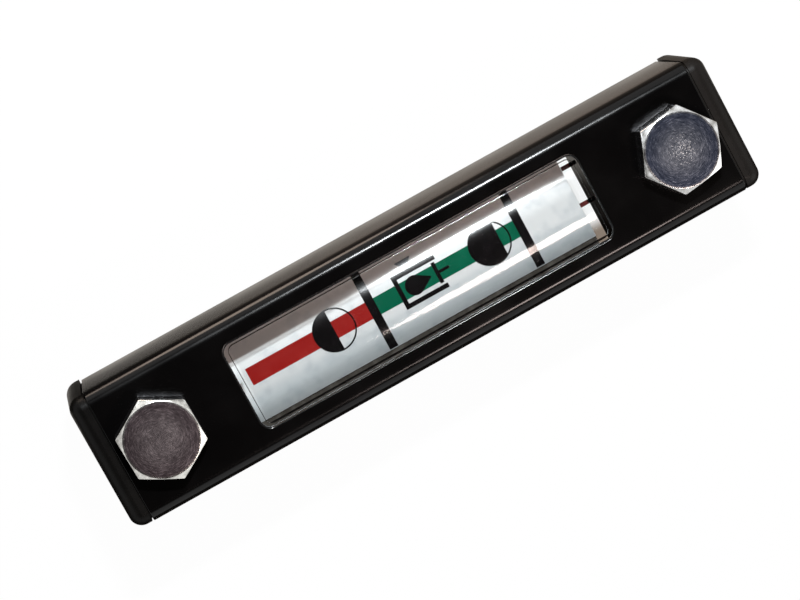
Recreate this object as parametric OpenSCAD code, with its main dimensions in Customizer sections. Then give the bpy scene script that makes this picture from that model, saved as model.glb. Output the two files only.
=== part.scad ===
// Fluid level gauge for a tank wall: a steel guard over a clear sight glass, held by two hollow bolts.
// X runs across the gauge, +Z up along it, and -Y is the front. The tank wall is the plane Y = 0.
// The origin lies in that plane, halfway between the two bolts.

/* [Mounting] */
// Distance between the two bolt axes
bolt_spacing = 127; // [105:1:152]
// Thread diameter of the hollow bolts
bolt_d = 10; // [8:0.5:12]
// Length of bolt that stands out behind the tank face
stud_reach = 16; // [10:1:30]
// Width of the hex head across its flats
head_af = 17; // [16:0.5:22]
// Height of the hex head
head_h = 6; // [4:0.5:9]
// Diameter of the flat circle on top of the head
head_top_d = 16.3; // [12:0.1:16.9]
// Diameter of the oil way bored up the bolt
oilway_d = 4; // [2:0.5:5]
// Diameter of the hole across the bolt that meets it
cross_hole_d = 3.6; // [1.5:0.1:4.8]
// Depth of the relief turned round the bolt where its thread begins
relief_t = 0.9; // [0.4:0.1:1.4]
// Width of that relief
relief_w = 2; // [1:0.1:3]
// Angle at which the upper head stands, in degrees
upper_head_turn = 38.6; // [0:0.2:60]
// Angle at which the lower head stands, in degrees
lower_head_turn = 1.4; // [0:0.2:60]

/* [Guard] */
// Width of the guard
guard_w = 31.6; // [28:0.2:40]
// Distance from the tank face to the front of the guard
guard_depth = 26; // [22:0.5:34]
// Thickness of the steel
guard_t = 1.5; // [1:0.1:2]
// Outer radius of the two long folds
guard_fold_r = 3; // [2.2:0.1:4]
// Distance from a bolt axis to the nearer end of the guard
guard_end = 10.1; // [9:0.1:14]
// Distance from a bolt axis to the nearer end of the window
window_end = 20.15; // [16:0.05:26]
// Width of the window
window_w = 20.2; // [12:0.1:22]
// Corner radius of the window
window_r = 2.2; // [0.5:0.1:4]
// How far the guard's side walls stop short of the tank face
guard_rear_gap = 0.3; // [0.1:0.1:1]

/* [End caps] */
// Length of cap that shows past the guard, at the front
cap_show = 4; // [3:0.1:8]
// Gap between the guard's end and the cap's shoulder
cap_seam = 0.4; // [0.1:0.1:1]
// How much the cap widens and lengthens towards the tank face, on each side
cap_draft = 0.4; // [0:0.1:1]
// How much narrower the cap's front is than the guard, on each side
cap_inset = 0.1; // [0:0.05:0.5]
// Radius of the cap's outer edges and of its two outer corners
cap_edge_r = 2.9; // [1:0.1:3.5]
// Depth of the seam between the guard and the cap
cap_seam_depth = 0.7; // [0.3:0.1:1.4]
// Distance from an end of the window to the inner end of the cap behind it
cap_past_window = 1.95; // [1.2:0.05:4]

/* [Sight glass] */
// Gap round the raised pad in the guard's window
pad_gap = 0.45; // [0.2:0.05:0.8]
// Gap between the pad's ends and the window's ends
pad_end_gap = 0.95; // [0.3:0.05:2]
// How far the pad's face lies behind the guard's face
pad_drop = 0.3; // [0:0.1:1]
// Thickness of the clear wall in front of the chamber
glass_front_t = 3; // [2.2:0.1:4]
// Thickness of the clear wall behind the chamber
glass_rear_t = 2; // [1.6:0.1:3]
// Depth of the fluid chamber
chamber_d = 6.9; // [5.5:0.1:8.5]
// Width of the fluid chamber
chamber_w = 15.4; // [10:0.1:16]
// Thickness of the clear wall at each end of the chamber
glass_end_t = 3; // [2:0.1:5]
// Diameter of the spigot that enters each cap
spigot_d = 8; // [7:0.1:9]
// Length of that spigot
spigot_len = 8; // [5:0.1:10]

/* [Scale strip] */
// Width of the black border on each side of the strip
border_w = 2.4; // [0.5:0.1:4]
// Thickness of the strip
strip_t = 0.5; // [0.3:0.1:0.8]
// Distance that the strip runs on past the window's lower end
strip_low_past = 0.65; // [0.2:0.05:1.2]
// Distance that the strip stops short of the window's upper end
strip_top_short = 2.4; // [0.5:0.05:4]
// Width of the red and the green band
band_w = 4.05; // [2:0.05:8]
// Plain strip left below the red band
band_margin = 3.1; // [0.5:0.1:5]
// Height of the low mark above the middle
low_line_z = -9.95; // [-16:0.05:-6]
// Height of the high mark above the middle
high_line_z = 27.15; // [22:0.05:32]
// Thickness of the two black level lines
line_t = 2.05; // [0.5:0.05:3]
// Plain strip left beside each end of a level line
line_margin = 0.15; // [0.1:0.05:2]
// Diameter of the two round level symbols
disc_d = 9.9; // [6:0.1:11]
// Width of the ring round them
disc_ring = 0.35; // [0.2:0.05:0.6]
// Distance from the low line to its symbol
low_disc_gap = 3.7; // [1:0.1:5]
// Distance from the high line to its symbol
high_disc_gap = 1.8; // [1:0.1:4]
// Level of the filling in the high symbol, above its middle
high_disc_fill = 2.5; // [0.5:0.1:3]
// Height of the tank symbol's base above the middle
tank_z = -3.5; // [-5:0.1:-2]
// Width of the tank symbol
tank_w = 8; // [5:0.1:9]
// Height of the tank symbol
tank_h = 10.7; // [8:0.1:12]
// Width of its lines
tank_line = 1.05; // [0.4:0.05:1.2]
// Diameter of the drop inside it
drop_d = 4.5; // [2:0.1:4.6]
// Height of the drop's tip above its centre
drop_tip = 4.2; // [2.8:0.1:4.6]
// Distance from the middle to the dark red mark left of it, past the strip's upper end
left_mark_x = 6.55; // [3:0.05:9]
// Distance from the middle to the dark red mark right of it
right_mark_x = 2.55; // [1:0.05:9]
// Width of those two marks
end_mark_w = 1; // [0.4:0.1:2]

/* [Seals] */
// Thickness of the O-rings under the bolt heads
head_seal_t = 2; // [1.5:0.1:2.4]
// Thickness of the O-rings against the tank
tank_seal_t = 2; // [1.5:0.1:2.6]
// Diameter of the tank O-rings at the middle of their section
tank_seal_d = 16; // [14.6:0.1:18]
// Thickness of the O-rings on the spigots
glass_seal_t = 1.1; // [0.9:0.1:1.2]

/* [Hidden] */
$fn = 96;

// Overrun of every cut past the face that it opens
cut = 1;
// Radial running clearance of a bolt in its bore
run_gap = 0.05;
// Gap under a bolt head
head_gap = 0.05;
// Clearance round a seal in its seat
seal_gap = 0.1;
// Clearance between fixed pieces that slide together
slip_gap = 0.1;
// Gap between the sight glass and each cap block
glass_cap_gap = 0.5;
// Gap between the sight glass and each side of the guard
glass_side_gap = 1.8;
// Thickness of the ink
ink_t = 0.05;
// Room left for the ink in front of the strip
ink_room = 0.15;
// Space for the oil round each bolt
gallery_gap = 1.7;
// How far that space reaches past the cross hole, each way
gallery_margin = 1.2;
// How far the oil way runs on past the middle of the cross hole
oilway_over = 2.5;
// Slope of the chamfer on the heads, in degrees
head_chamfer_angle = 30;
// Length of the chamfer at a bolt's tip
tip_chamfer = 1;

// Places along the height
bolt_z = bolt_spacing / 2;
guard_z = bolt_z + guard_end;
cap_shoulder_z = guard_z + cap_seam;
cap_front_z = cap_shoulder_z + cap_show;
cap_rear_z = cap_front_z + cap_draft;
window_z = bolt_z - window_end;
cap_inner_z = window_z + cap_past_window;
pad_z = window_z - pad_end_gap;
glass_z = cap_inner_z - glass_cap_gap;
chamber_z = glass_z - glass_end_t;
strip_low_z = -window_z - strip_low_past;
strip_top_z = window_z - strip_top_short;
strip_h = strip_top_z - strip_low_z;

// Places across the depth, negative towards the front
front_y = -guard_depth;
inner_front_y = front_y + guard_t;
block_front_y = inner_front_y + slip_gap;
pad_y = front_y + pad_drop;
chamber_front_y = pad_y + glass_front_t;
chamber_rear_y = chamber_front_y + chamber_d;
glass_rear_y = chamber_rear_y + glass_rear_t;
chamber_mid_y = (chamber_front_y + chamber_rear_y) / 2;
strip_y = glass_rear_y - strip_t;
head_y = front_y - head_gap;

// Widths and radii
inner_w = guard_w - 2 * guard_t;
block_w = inner_w - 2 * slip_gap;
cap_w = guard_w - 2 * cap_inset;
glass_w = inner_w - 2 * glass_side_gap;
strip_w = glass_w - 2 * (border_w + slip_gap);
pad_w = window_w - 2 * pad_gap;
pad_r = window_r - pad_gap;
bolt_r = bolt_d / 2;
bore_r = bolt_r + run_gap;
head_corner_r = head_af / 2 / cos(30);
head_seal_r = bolt_r + seal_gap + head_seal_t / 2;
seal_seat_r = head_seal_r + head_seal_t / 2 + 2 * seal_gap;
spigot_r = spigot_d / 2;
socket_r = spigot_r + slip_gap;
glass_seal_r = socket_r - run_gap - glass_seal_t / 2;
spigot_groove_r = glass_seal_r - glass_seal_t / 2 - run_gap;
spigot_groove_w = glass_seal_t + 4 * seal_gap;
spigot_groove_z = glass_z + spigot_len / 2;

// Oil gallery round each bolt
gallery_r = bolt_r + gallery_gap;
gallery_h = cross_hole_d + 2 * gallery_margin;

// Seat of each head seal: its floor lies a seal's thickness behind the head
seat_floor_y = head_y + head_seal_t + seal_gap;

// Groove of each tank seal
tank_groove_d = tank_seal_t + run_gap;
tank_groove_w = tank_seal_t + 2 * seal_gap;

// Places of the printed marks
red_low_z = strip_low_z + band_margin;
red_high_z = low_line_z - line_t / 2;
green_low_z = low_line_z + line_t / 2;
green_high_z = high_line_z - line_t / 2;
line_w = strip_w - 2 * line_margin;
disc_r = disc_d / 2;
low_disc_z = red_high_z - low_disc_gap - disc_r;
high_disc_z = green_high_z - high_disc_gap - disc_r;

// The tank symbol's parts as shares of its own width, height and line
tank_top_z = tank_z + tank_h;
drop_z = tank_z + tank_h * 0.38;
level_z = tank_z + tank_h * 0.865;
level_w = tank_w * 0.63;
level_t = tank_line * 0.85;
stem_h = tank_h * 0.235;
stem_w = tank_line * 0.68;
arrow_w = tank_h * 0.37;
arrow_h = tank_w * 0.285;

// Number of steps along the drop's arc
drop_steps = 40;

// A rectangle from a lowest to a highest corner, with round corners
module round_rect(w, h, r) {
    square([w - 2 * r, h], center = true);
    square([w, h - 2 * r], center = true);
    for (x = [-1, 1], y = [-1, 1])
        translate([x * (w / 2 - r), y * (h / 2 - r)])
            circle(r);
}

// Carries a shape drawn across X and Z along the depth, from y0 back to y1
module along_y(y0, y1) {
    translate([0, y1, 0])
        rotate([90, 0, 0])
            linear_extrude(y1 - y0)
                children();
}

// Carries a shape drawn across Y and Z along X, centred
module along_x(w) {
    translate([-w / 2, 0, 0])
        rotate([90, 0, 90])
            linear_extrude(w)
                children();
}

// Turns children so that their own Z runs from the front to the rear at a height z
module on_bolt_axis(z) {
    translate([0, 0, z])
        rotate([-90, 0, 0])
            children();
}

// Section of a channel or block: flat rear at y = 0, round corners at the front
module channel_outline(w, d, r) {
    translate([-w / 2, r - d])
        square([w, d - r]);
    translate([r - w / 2, -d])
        square([w - 2 * r, d]);
    for (x = [-1, 1])
        translate([x * (w / 2 - r), r - d])
            circle(r);
}

// Ring of round section about the Z axis
module o_ring(r, t) {
    rotate_extrude()
        translate([r, 0])
            circle(t / 2, $fn = 48);
}

// Guard

module guard_section() {
    difference() {
        channel_outline(guard_w, guard_depth, guard_fold_r);
        channel_outline(inner_w, guard_depth - guard_t, guard_fold_r - guard_t);
        translate([-guard_w / 2 - cut, -guard_rear_gap])
            square([guard_w + 2 * cut, guard_rear_gap + cut]);
    }
}

module guard() {
    color("#17181a")
        difference() {
            translate([0, 0, -guard_z])
                linear_extrude(2 * guard_z)
                    guard_section();
            along_y(front_y - cut, inner_front_y + cut)
                round_rect(window_w, 2 * window_z, window_r);
            for (z = [-bolt_z, bolt_z])
                translate([0, front_y - cut, 0])
                    on_bolt_axis(z)
                        cylinder(h = guard_t + 2 * cut, r = seal_seat_r);
        }
}

// End caps

// Section across the cap's visible end, widening towards the rear
module cap_end_section() {
    channel_outline(cap_w, guard_depth, cap_edge_r);
    polygon([
        [-cap_w / 2 - cap_draft, 0], [cap_w / 2 + cap_draft, 0],
        [cap_w / 2, cap_edge_r - guard_depth], [-cap_w / 2, cap_edge_r - guard_depth]
    ]);
}

// Quarter of a disc that rounds the cap's front edge, to the right of and below its centre
module edge_quarter() {
    intersection() {
        circle(cap_edge_r);
        translate([0, -cap_edge_r])
            square(cap_edge_r);
    }
}

// Side view of the cap's visible end, drawn as y and z, lengthening towards the rear
module cap_side_outline() {
    corner_y = cap_edge_r - guard_depth;
    translate([-guard_depth, cap_shoulder_z])
        square([guard_depth, cap_show - cap_edge_r]);
    polygon([
        [0, cap_shoulder_z], [0, cap_rear_z], [corner_y, cap_front_z], [corner_y, cap_shoulder_z]
    ]);
    translate([corner_y, cap_front_z - cap_edge_r])
        rotate(180)
            edge_quarter();
}

// Half the section through an outer corner, as distance from the corner's own axis and y:
// a quarter of a circle at the front, then a side that widens towards the rear
module cap_corner_profile() {
    corner_y = cap_edge_r - guard_depth;
    polygon([[0, corner_y], [cap_edge_r, corner_y], [cap_edge_r + cap_draft, 0], [0, 0]]);
    translate([0, corner_y])
        edge_quarter();
}

// Quarter turn that joins the cap's three round edges at one outer corner
module cap_corner() {
    reach = cap_edge_r + cap_draft + cut;
    translate([cap_w / 2 - cap_edge_r, 0, 0])
        intersection() {
            on_bolt_axis(cap_front_z - cap_edge_r)
                rotate_extrude()
                    cap_corner_profile();
            translate([0, front_y - cut, cap_front_z - cap_edge_r])
                cube([reach, guard_depth + 2 * cut, reach]);
        }
}

module cap_end() {
    translate([0, 0, cap_shoulder_z])
        linear_extrude(cap_show - cap_edge_r)
            cap_end_section();
    along_x(cap_w - 2 * cap_edge_r)
        cap_side_outline();
    for (side = [0, 1])
        mirror([side, 0, 0])
            cap_corner();
}

// Land at the bottom of the seam, just short of the guard's end
module cap_land() {
    land_w = guard_w - 2 * cap_seam_depth;
    translate([0, 0, guard_z + slip_gap])
        linear_extrude(cap_seam - slip_gap + cap_show / 2)
            channel_outline(land_w, guard_depth - cap_seam_depth, guard_fold_r - cap_seam_depth);
}

// Cap of the upper end; the lower one is its mirror image
module end_cap() {
    difference() {
        union() {
            cap_end();
            cap_land();
            translate([0, 0, cap_inner_z])
                linear_extrude(cap_shoulder_z - cap_inner_z + cap_show / 2)
                    channel_outline(block_w, guard_depth - guard_t - slip_gap, guard_fold_r - guard_t);
        }
        on_bolt_axis(bolt_z)
            translate([0, 0, front_y - cut])
                cylinder(h = guard_depth + 2 * cut, r = bore_r);
        on_bolt_axis(bolt_z)
            translate([0, 0, chamber_mid_y - gallery_h / 2])
                cylinder(h = gallery_h, r = gallery_r);
        on_bolt_axis(bolt_z)
            translate([0, 0, front_y - cut])
                cylinder(h = seat_floor_y - front_y + cut, r = seal_seat_r);
        on_bolt_axis(bolt_z)
            translate([0, 0, -tank_groove_d])
                difference() {
                    cylinder(h = tank_groove_d + cut, r = tank_seal_d / 2 + tank_groove_w / 2);
                    translate([0, 0, -cut])
                        cylinder(h = tank_groove_d + 3 * cut, r = tank_seal_d / 2 - tank_groove_w / 2);
                }
        translate([0, chamber_mid_y, cap_inner_z - cut])
            cylinder(h = bolt_z - gallery_r - cap_inner_z + 2 * cut, r = socket_r);
    }
}

module upper_end_cap() {
    color("#242628")
        end_cap();
}

module lower_end_cap() {
    color("#242628")
        mirror([0, 0, 1])
            end_cap();
}

// Sight glass

module glass_body() {
    translate([-glass_w / 2, block_front_y, -glass_z])
        cube([glass_w, glass_rear_y - block_front_y, 2 * glass_z]);
    along_y(pad_y, block_front_y + cut)
        round_rect(pad_w, 2 * pad_z, pad_r);
    translate([0, chamber_mid_y, -glass_z - spigot_len])
        cylinder(h = 2 * (glass_z + spigot_len), r = spigot_r);
}

module sight_glass() {
    color([0.86, 0.93, 0.96, 0.4])
        difference() {
            glass_body();
            translate([-chamber_w / 2, chamber_front_y, -chamber_z])
                cube([chamber_w, chamber_d, 2 * chamber_z]);
            translate([0, chamber_mid_y, -glass_z - spigot_len - cut])
                cylinder(h = 2 * (glass_z + spigot_len + cut), r = oilway_d / 2);
            translate([-strip_w / 2 - slip_gap, strip_y - ink_room, strip_low_z - slip_gap])
                cube([strip_w + 2 * slip_gap, strip_t + ink_room + cut, strip_h + 2 * slip_gap]);
            for (z = [-spigot_groove_z, spigot_groove_z])
                translate([0, chamber_mid_y, z])
                    difference() {
                        cylinder(h = spigot_groove_w, r = spigot_r + cut, center = true);
                        cylinder(h = spigot_groove_w + cut, r = spigot_groove_r, center = true);
                    }
        }
}

// Scale strip and the marks printed on it

module scale_strip() {
    color("#d9dcdd")
        translate([-strip_w / 2, strip_y, strip_low_z])
            cube([strip_w, strip_t, strip_h]);
}

// Carries a mark drawn across X and Z as a layer of ink on the strip
module ink() {
    along_y(strip_y - ink_t, strip_y)
        children();
}

module line_shape(z) {
    translate([0, z])
        square([line_w, line_t], center = true);
}

// A ring, filled from its lowest point up to the given level above its middle
module disc_shape(z, level) {
    translate([0, z])
        difference() {
            circle(disc_r);
            intersection() {
                circle(disc_r - disc_ring);
                translate([-disc_r, level])
                    square([2 * disc_r, disc_r]);
            }
        }
}

// An open tank with a drop in it
module tank_shape() {
    difference() {
        translate([-tank_w / 2, tank_z])
            square([tank_w, tank_h]);
        translate([tank_line - tank_w / 2, tank_z + tank_line])
            square([tank_w - 2 * tank_line, tank_h]);
    }
}

// A drop: its tip, and the arc on which the two straight lines from the tip touch its circle
module drop_shape() {
    touch_angle = acos(drop_d / 2 / drop_tip);
    arc_angle = 360 - 2 * touch_angle;
    arc = [
        for (i = [0:drop_steps])
            let (a = touch_angle + arc_angle * i / drop_steps)
                drop_d / 2 * [sin(a), cos(a)]
    ];
    translate([0, drop_z])
        polygon(concat([[0, drop_tip]], arc));
}

// A level line with a stem that stands on it
module level_shape() {
    translate([-level_w / 2, level_z])
        square([level_w, level_t]);
    translate([-stem_w / 2, level_z])
        square([stem_w, stem_h + level_t]);
}

// A small triangle outside the tank, its point against the wall
module arrow_shape() {
    point_x = -tank_w / 2 - ink_t;
    translate([point_x, drop_z])
        polygon([[0, 0], [-arrow_h, arrow_w / 2], [-arrow_h, -arrow_w / 2]]);
}

module low_level_line() {
    color("#101112")
        ink()
            line_shape(low_line_z);
}

module high_level_line() {
    color("#101112")
        ink()
            line_shape(high_line_z);
}

module low_level_symbol() {
    color("#101112")
        ink()
            disc_shape(low_disc_z, 0);
}

module high_level_symbol() {
    color("#101112")
        ink()
            disc_shape(high_disc_z, high_disc_fill);
}

module tank_symbol() {
    color("#101112")
        ink() {
            tank_shape();
            drop_shape();
            level_shape();
            arrow_shape();
        }
}

module red_band() {
    color("#c0282a")
        ink()
            difference() {
                translate([-band_w / 2, red_low_z])
                    square([band_w, red_high_z - red_low_z]);
                disc_shape(low_disc_z, 0);
            }
}

module green_band() {
    color("#0e7d4f")
        ink()
            difference() {
                translate([-band_w / 2, green_low_z])
                    square([band_w, green_high_z - green_low_z]);
                disc_shape(high_disc_z, high_disc_fill);
                tank_shape();
                drop_shape();
                level_shape();
            }
}

// Marks printed on the back of the glass

// Carries a mark drawn across X and Z as a layer of ink on the glass's rear face
module rear_ink() {
    along_y(glass_rear_y, glass_rear_y + ink_t)
        children();
}

// Two short marks on the clear wall between the strip's upper end and the cap
module end_marks() {
    start_z = strip_top_z + slip_gap;
    color("#4a1416")
        rear_ink()
            for (x = [-left_mark_x, right_mark_x])
                translate([x - end_mark_w / 2, start_z])
                    square([end_mark_w, glass_z - start_z]);
}

// A black border along each long side of the strip, from its recess to the glass's edge
module edge_borders() {
    recess_x = strip_w / 2 + slip_gap;
    color("#101112")
        rear_ink()
            for (side = [0, 1])
                mirror([side, 0, 0])
                    translate([recess_x, strip_low_z])
                        square([border_w, strip_h]);
}

// Hollow bolts

// Hex head with the chamfer that leaves a flat circle on its top
module bolt_head(turn) {
    widen = head_h / tan(head_chamfer_angle);
    intersection() {
        rotate([0, 0, -turn])
            cylinder(h = head_h, r = head_corner_r, $fn = 6);
        cylinder(h = head_h, r1 = head_top_d / 2, r2 = head_top_d / 2 + widen);
    }
}

// The relief ends at the tank face, where the thread begins
module hollow_bolt(z, turn) {
    shank = stud_reach - head_y;
    thread_start = -head_y;
    bore_top = chamber_mid_y - head_y - oilway_over;
    on_bolt_axis(z)
        translate([0, 0, head_y])
            difference() {
                union() {
                    translate([0, 0, -head_h])
                        bolt_head(turn);
                    rotate_extrude()
                        polygon([
                            [0, -head_h / 2], [bolt_r, -head_h / 2],
                            [bolt_r, thread_start - relief_w], [bolt_r - relief_t, thread_start - relief_w],
                            [bolt_r - relief_t, thread_start], [bolt_r, thread_start],
                            [bolt_r, shank - tip_chamfer], [bolt_r - tip_chamfer, shank], [0, shank]
                        ]);
                }
                translate([0, 0, bore_top])
                    cylinder(h = shank - bore_top + cut, r = oilway_d / 2);
                translate([0, 0, chamber_mid_y - head_y])
                    rotate([90, 0, 0])
                        cylinder(h = bolt_d + 2 * cut, r = cross_hole_d / 2, center = true);
            }
}

module upper_hollow_bolt() {
    color("#8a8f96")
        hollow_bolt(bolt_z, upper_head_turn);
}

module lower_hollow_bolt() {
    color("#8a8f96")
        hollow_bolt(-bolt_z, lower_head_turn);
}

// Seals

module head_seal(z) {
    on_bolt_axis(z)
        translate([0, 0, head_y + run_gap + head_seal_t / 2])
            o_ring(head_seal_r, head_seal_t);
}

module tank_seal(z) {
    on_bolt_axis(z)
        translate([0, 0, -tank_seal_t / 2])
            o_ring(tank_seal_d / 2, tank_seal_t);
}

module glass_seal(z) {
    translate([0, chamber_mid_y, z])
        o_ring(glass_seal_r, glass_seal_t);
}

module upper_head_seal() {
    color("#1a1a1a")
        head_seal(bolt_z);
}

module lower_head_seal() {
    color("#1a1a1a")
        head_seal(-bolt_z);
}

module upper_tank_seal() {
    color("#1a1a1a")
        tank_seal(bolt_z);
}

module lower_tank_seal() {
    color("#1a1a1a")
        tank_seal(-bolt_z);
}

module upper_glass_seal() {
    color("#1a1a1a")
        glass_seal(spigot_groove_z);
}

module lower_glass_seal() {
    color("#1a1a1a")
        glass_seal(-spigot_groove_z);
}

guard();
upper_end_cap();
lower_end_cap();
sight_glass();
scale_strip();
red_band();
green_band();
low_level_line();
high_level_line();
low_level_symbol();
high_level_symbol();
tank_symbol();
end_marks();
edge_borders();
upper_hollow_bolt();
lower_hollow_bolt();
upper_head_seal();
lower_head_seal();
upper_tank_seal();
lower_tank_seal();
upper_glass_seal();
lower_glass_seal();
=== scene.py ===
"""Looks of a tank's fluid level gauge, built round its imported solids.

The gauge stands along +Z with its front towards -Y, and lies with its two studs on a pale floor behind it.
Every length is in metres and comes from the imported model's boxes or a class's own fields.
"""

import logging
import math
from collections.abc import Iterator
from dataclasses import dataclass, field
from enum import Enum
from typing import Any

import bmesh
import bpy
import numpy as np
from mathutils import Matrix, Vector


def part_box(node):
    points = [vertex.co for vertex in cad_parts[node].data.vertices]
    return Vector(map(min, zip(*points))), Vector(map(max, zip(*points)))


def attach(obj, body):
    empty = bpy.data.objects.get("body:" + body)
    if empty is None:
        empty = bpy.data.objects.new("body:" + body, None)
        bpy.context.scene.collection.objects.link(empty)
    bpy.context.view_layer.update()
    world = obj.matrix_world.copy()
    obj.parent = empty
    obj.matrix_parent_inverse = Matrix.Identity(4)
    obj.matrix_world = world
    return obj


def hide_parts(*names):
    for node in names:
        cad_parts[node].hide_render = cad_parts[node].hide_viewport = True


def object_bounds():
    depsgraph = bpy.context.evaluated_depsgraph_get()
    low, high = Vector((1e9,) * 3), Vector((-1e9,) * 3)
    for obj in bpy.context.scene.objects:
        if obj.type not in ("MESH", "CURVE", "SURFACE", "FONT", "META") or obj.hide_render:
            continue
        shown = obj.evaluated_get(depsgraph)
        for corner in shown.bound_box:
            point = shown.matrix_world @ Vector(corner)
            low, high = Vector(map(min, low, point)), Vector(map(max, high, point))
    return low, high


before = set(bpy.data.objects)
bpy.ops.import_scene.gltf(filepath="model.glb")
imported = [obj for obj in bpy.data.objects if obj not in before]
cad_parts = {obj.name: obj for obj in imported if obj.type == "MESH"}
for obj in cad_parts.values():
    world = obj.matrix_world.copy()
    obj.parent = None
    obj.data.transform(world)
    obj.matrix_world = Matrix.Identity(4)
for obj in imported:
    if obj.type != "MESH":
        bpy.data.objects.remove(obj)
CAD_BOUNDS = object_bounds()

MM = 0.001
BODY = "gauge_body"
LOG = logging.getLogger("gauge")

Array = np.ndarray
Colour = tuple[float, float, float]
Span = tuple[float, float]

WHITE: Colour = (1.0, 1.0, 1.0)
WELD = 1e-7
FLOOR_GAP = 0.3 * MM


# Meshes


def in_scene(name: str, data: Any) -> bpy.types.Object:
    """Adds an object to the scene.

    Args:
        name: its name.
        data: its mesh, light or camera.

    Returns:
        The new object.
    """
    thing = bpy.data.objects.new(name, data)
    bpy.context.scene.collection.objects.link(thing)
    return thing


def shade(mesh: bpy.types.Mesh, sharp: float) -> None:
    """Shades a mesh smooth, except at edges that turn by more than the given number of degrees."""
    mesh.shade_smooth()
    mesh.set_sharp_from_angle(angle=math.radians(sharp))


class Shell:
    """Collects grids of points and joins them into one closed surface."""

    def __init__(self) -> None:
        """Starts with no points and no faces."""
        self.points: list[Array] = []
        self.faces: list[Array] = []
        self.count = 0

    def grid(self, points: Array, wrap_rows: bool = False, wrap_columns: bool = False) -> "Shell":
        """Adds a two-parameter grid: point (i, j) is joined to its neighbours (i+1, j) and (i, j+1) by quads.

        Args:
            points: array of rows x columns x 3.
            wrap_rows: joins the last row to the first.
            wrap_columns: joins the last column to the first.

        Returns:
            The shell itself.
        """
        rows, columns = points.shape[:2]
        index = np.arange(rows * columns).reshape(rows, columns)
        if wrap_rows:
            index = np.vstack([index, index[:1]])
        if wrap_columns:
            index = np.hstack([index, index[:, :1]])
        quads = np.stack([index[:-1, :-1], index[:-1, 1:], index[1:, 1:], index[1:, :-1]], axis=-1)
        self.points.append(points.reshape(-1, 3))
        self.faces.append(quads.reshape(-1, 4) + self.count)
        self.count += rows * columns
        return self

    def piece(self, name: str, sharp: float = 40.0) -> bpy.types.Object:
        """Welds the grids, turns every face outwards and shades them smooth up to an angle.

        Args:
            name: the piece's name.
            sharp: edges with a turn of more than this many degrees stay sharp.

        Returns:
            The new object.
        """
        points, faces = np.vstack(self.points), np.vstack(self.faces)
        mesh = bpy.data.meshes.new(name)
        mesh.from_pydata(points.tolist(), [], faces.tolist())
        work = bmesh.new()
        work.from_mesh(mesh)
        bmesh.ops.remove_doubles(work, verts=work.verts, dist=WELD)
        bmesh.ops.dissolve_degenerate(work, edges=work.edges, dist=WELD)
        bmesh.ops.recalc_face_normals(work, faces=work.faces)
        work.to_mesh(mesh)
        work.free()
        shade(mesh, sharp)
        return in_scene(name, mesh)


def place(piece: bpy.types.Object, body: str, slot: str, material: bpy.types.Material,
          *replaced: str) -> bpy.types.Object:
    """Dresses a new piece and ties it to its body and the nodes that it stands for.

    Args:
        piece: the new object.
        body: the body that it rides on.
        slot: the record's material slot; not used.
        material: its finish.
        replaced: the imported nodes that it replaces.

    Returns:
        The piece.
    """
    piece.data.materials.clear()
    piece.data.materials.append(material)
    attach(piece, body)
    if replaced:
        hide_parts(*replaced)
    LOG.info("%s: %d faces", piece.name, len(piece.data.polygons))
    return piece


def drill(piece: bpy.types.Object, low: Vector, high: Vector, radius: float, sharp: float,
          sides: int = 48) -> None:
    """Drills a round hole through a piece for good.

    The drill is a closed cylinder: its rows are a pole, two rings and a pole on the line from low to high.

    Args:
        piece: what is drilled.
        low: one end of the drill's axis, which runs along Z.
        high: its other end.
        radius: the hole's radius.
        sharp: edges of the piece with a turn of more than this many degrees stay sharp.
        sides: number of the drill's sides.
    """
    turn = np.linspace(0, 2 * np.pi, sides, endpoint=False)
    reach = np.array([0.0, radius, radius, 0.0])[:, None]
    height = np.array([low.z, low.z, high.z, high.z])[:, None] + 0 * turn
    points = np.stack([low.x + reach * np.cos(turn), low.y + reach * np.sin(turn), height], axis=-1)
    cutter = Shell().grid(points, wrap_columns=True).piece("drill")
    cut = piece.modifiers.new("drilled", "BOOLEAN")
    cut.operation, cut.solver, cut.object = "DIFFERENCE", "EXACT", cutter
    solid = piece.evaluated_get(bpy.context.evaluated_depsgraph_get())
    mesh = bpy.data.meshes.new_from_object(solid)
    piece.modifiers.clear()
    piece.data = mesh
    shade(mesh, sharp)
    bpy.data.objects.remove(cutter)


def dress_node(node: str, material: bpy.types.Material) -> None:
    """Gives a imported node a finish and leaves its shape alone.

    Args:
        node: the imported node's name.
        material: its finish.
    """
    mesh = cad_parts[node].data
    mesh.materials.clear()
    mesh.materials.append(material)
    LOG.info("%s: dressed", node)


# Materials


def math_node(operation: str, swapped: bool = False) -> Any:
    """A method that adds the Math node for an operation on a socket and the other values given.

    Args:
        operation: the node's operation.
        swapped: puts the other values before the socket.

    Returns:
        The method.
    """

    def method(self: "Socket", *others: Any) -> "Socket":
        """Adds the node."""
        values = (*others, self) if swapped else (self, *others)
        return self.paint.add("ShaderNodeMath", {"operation": operation}, dict(enumerate(values)))

    return method


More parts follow.
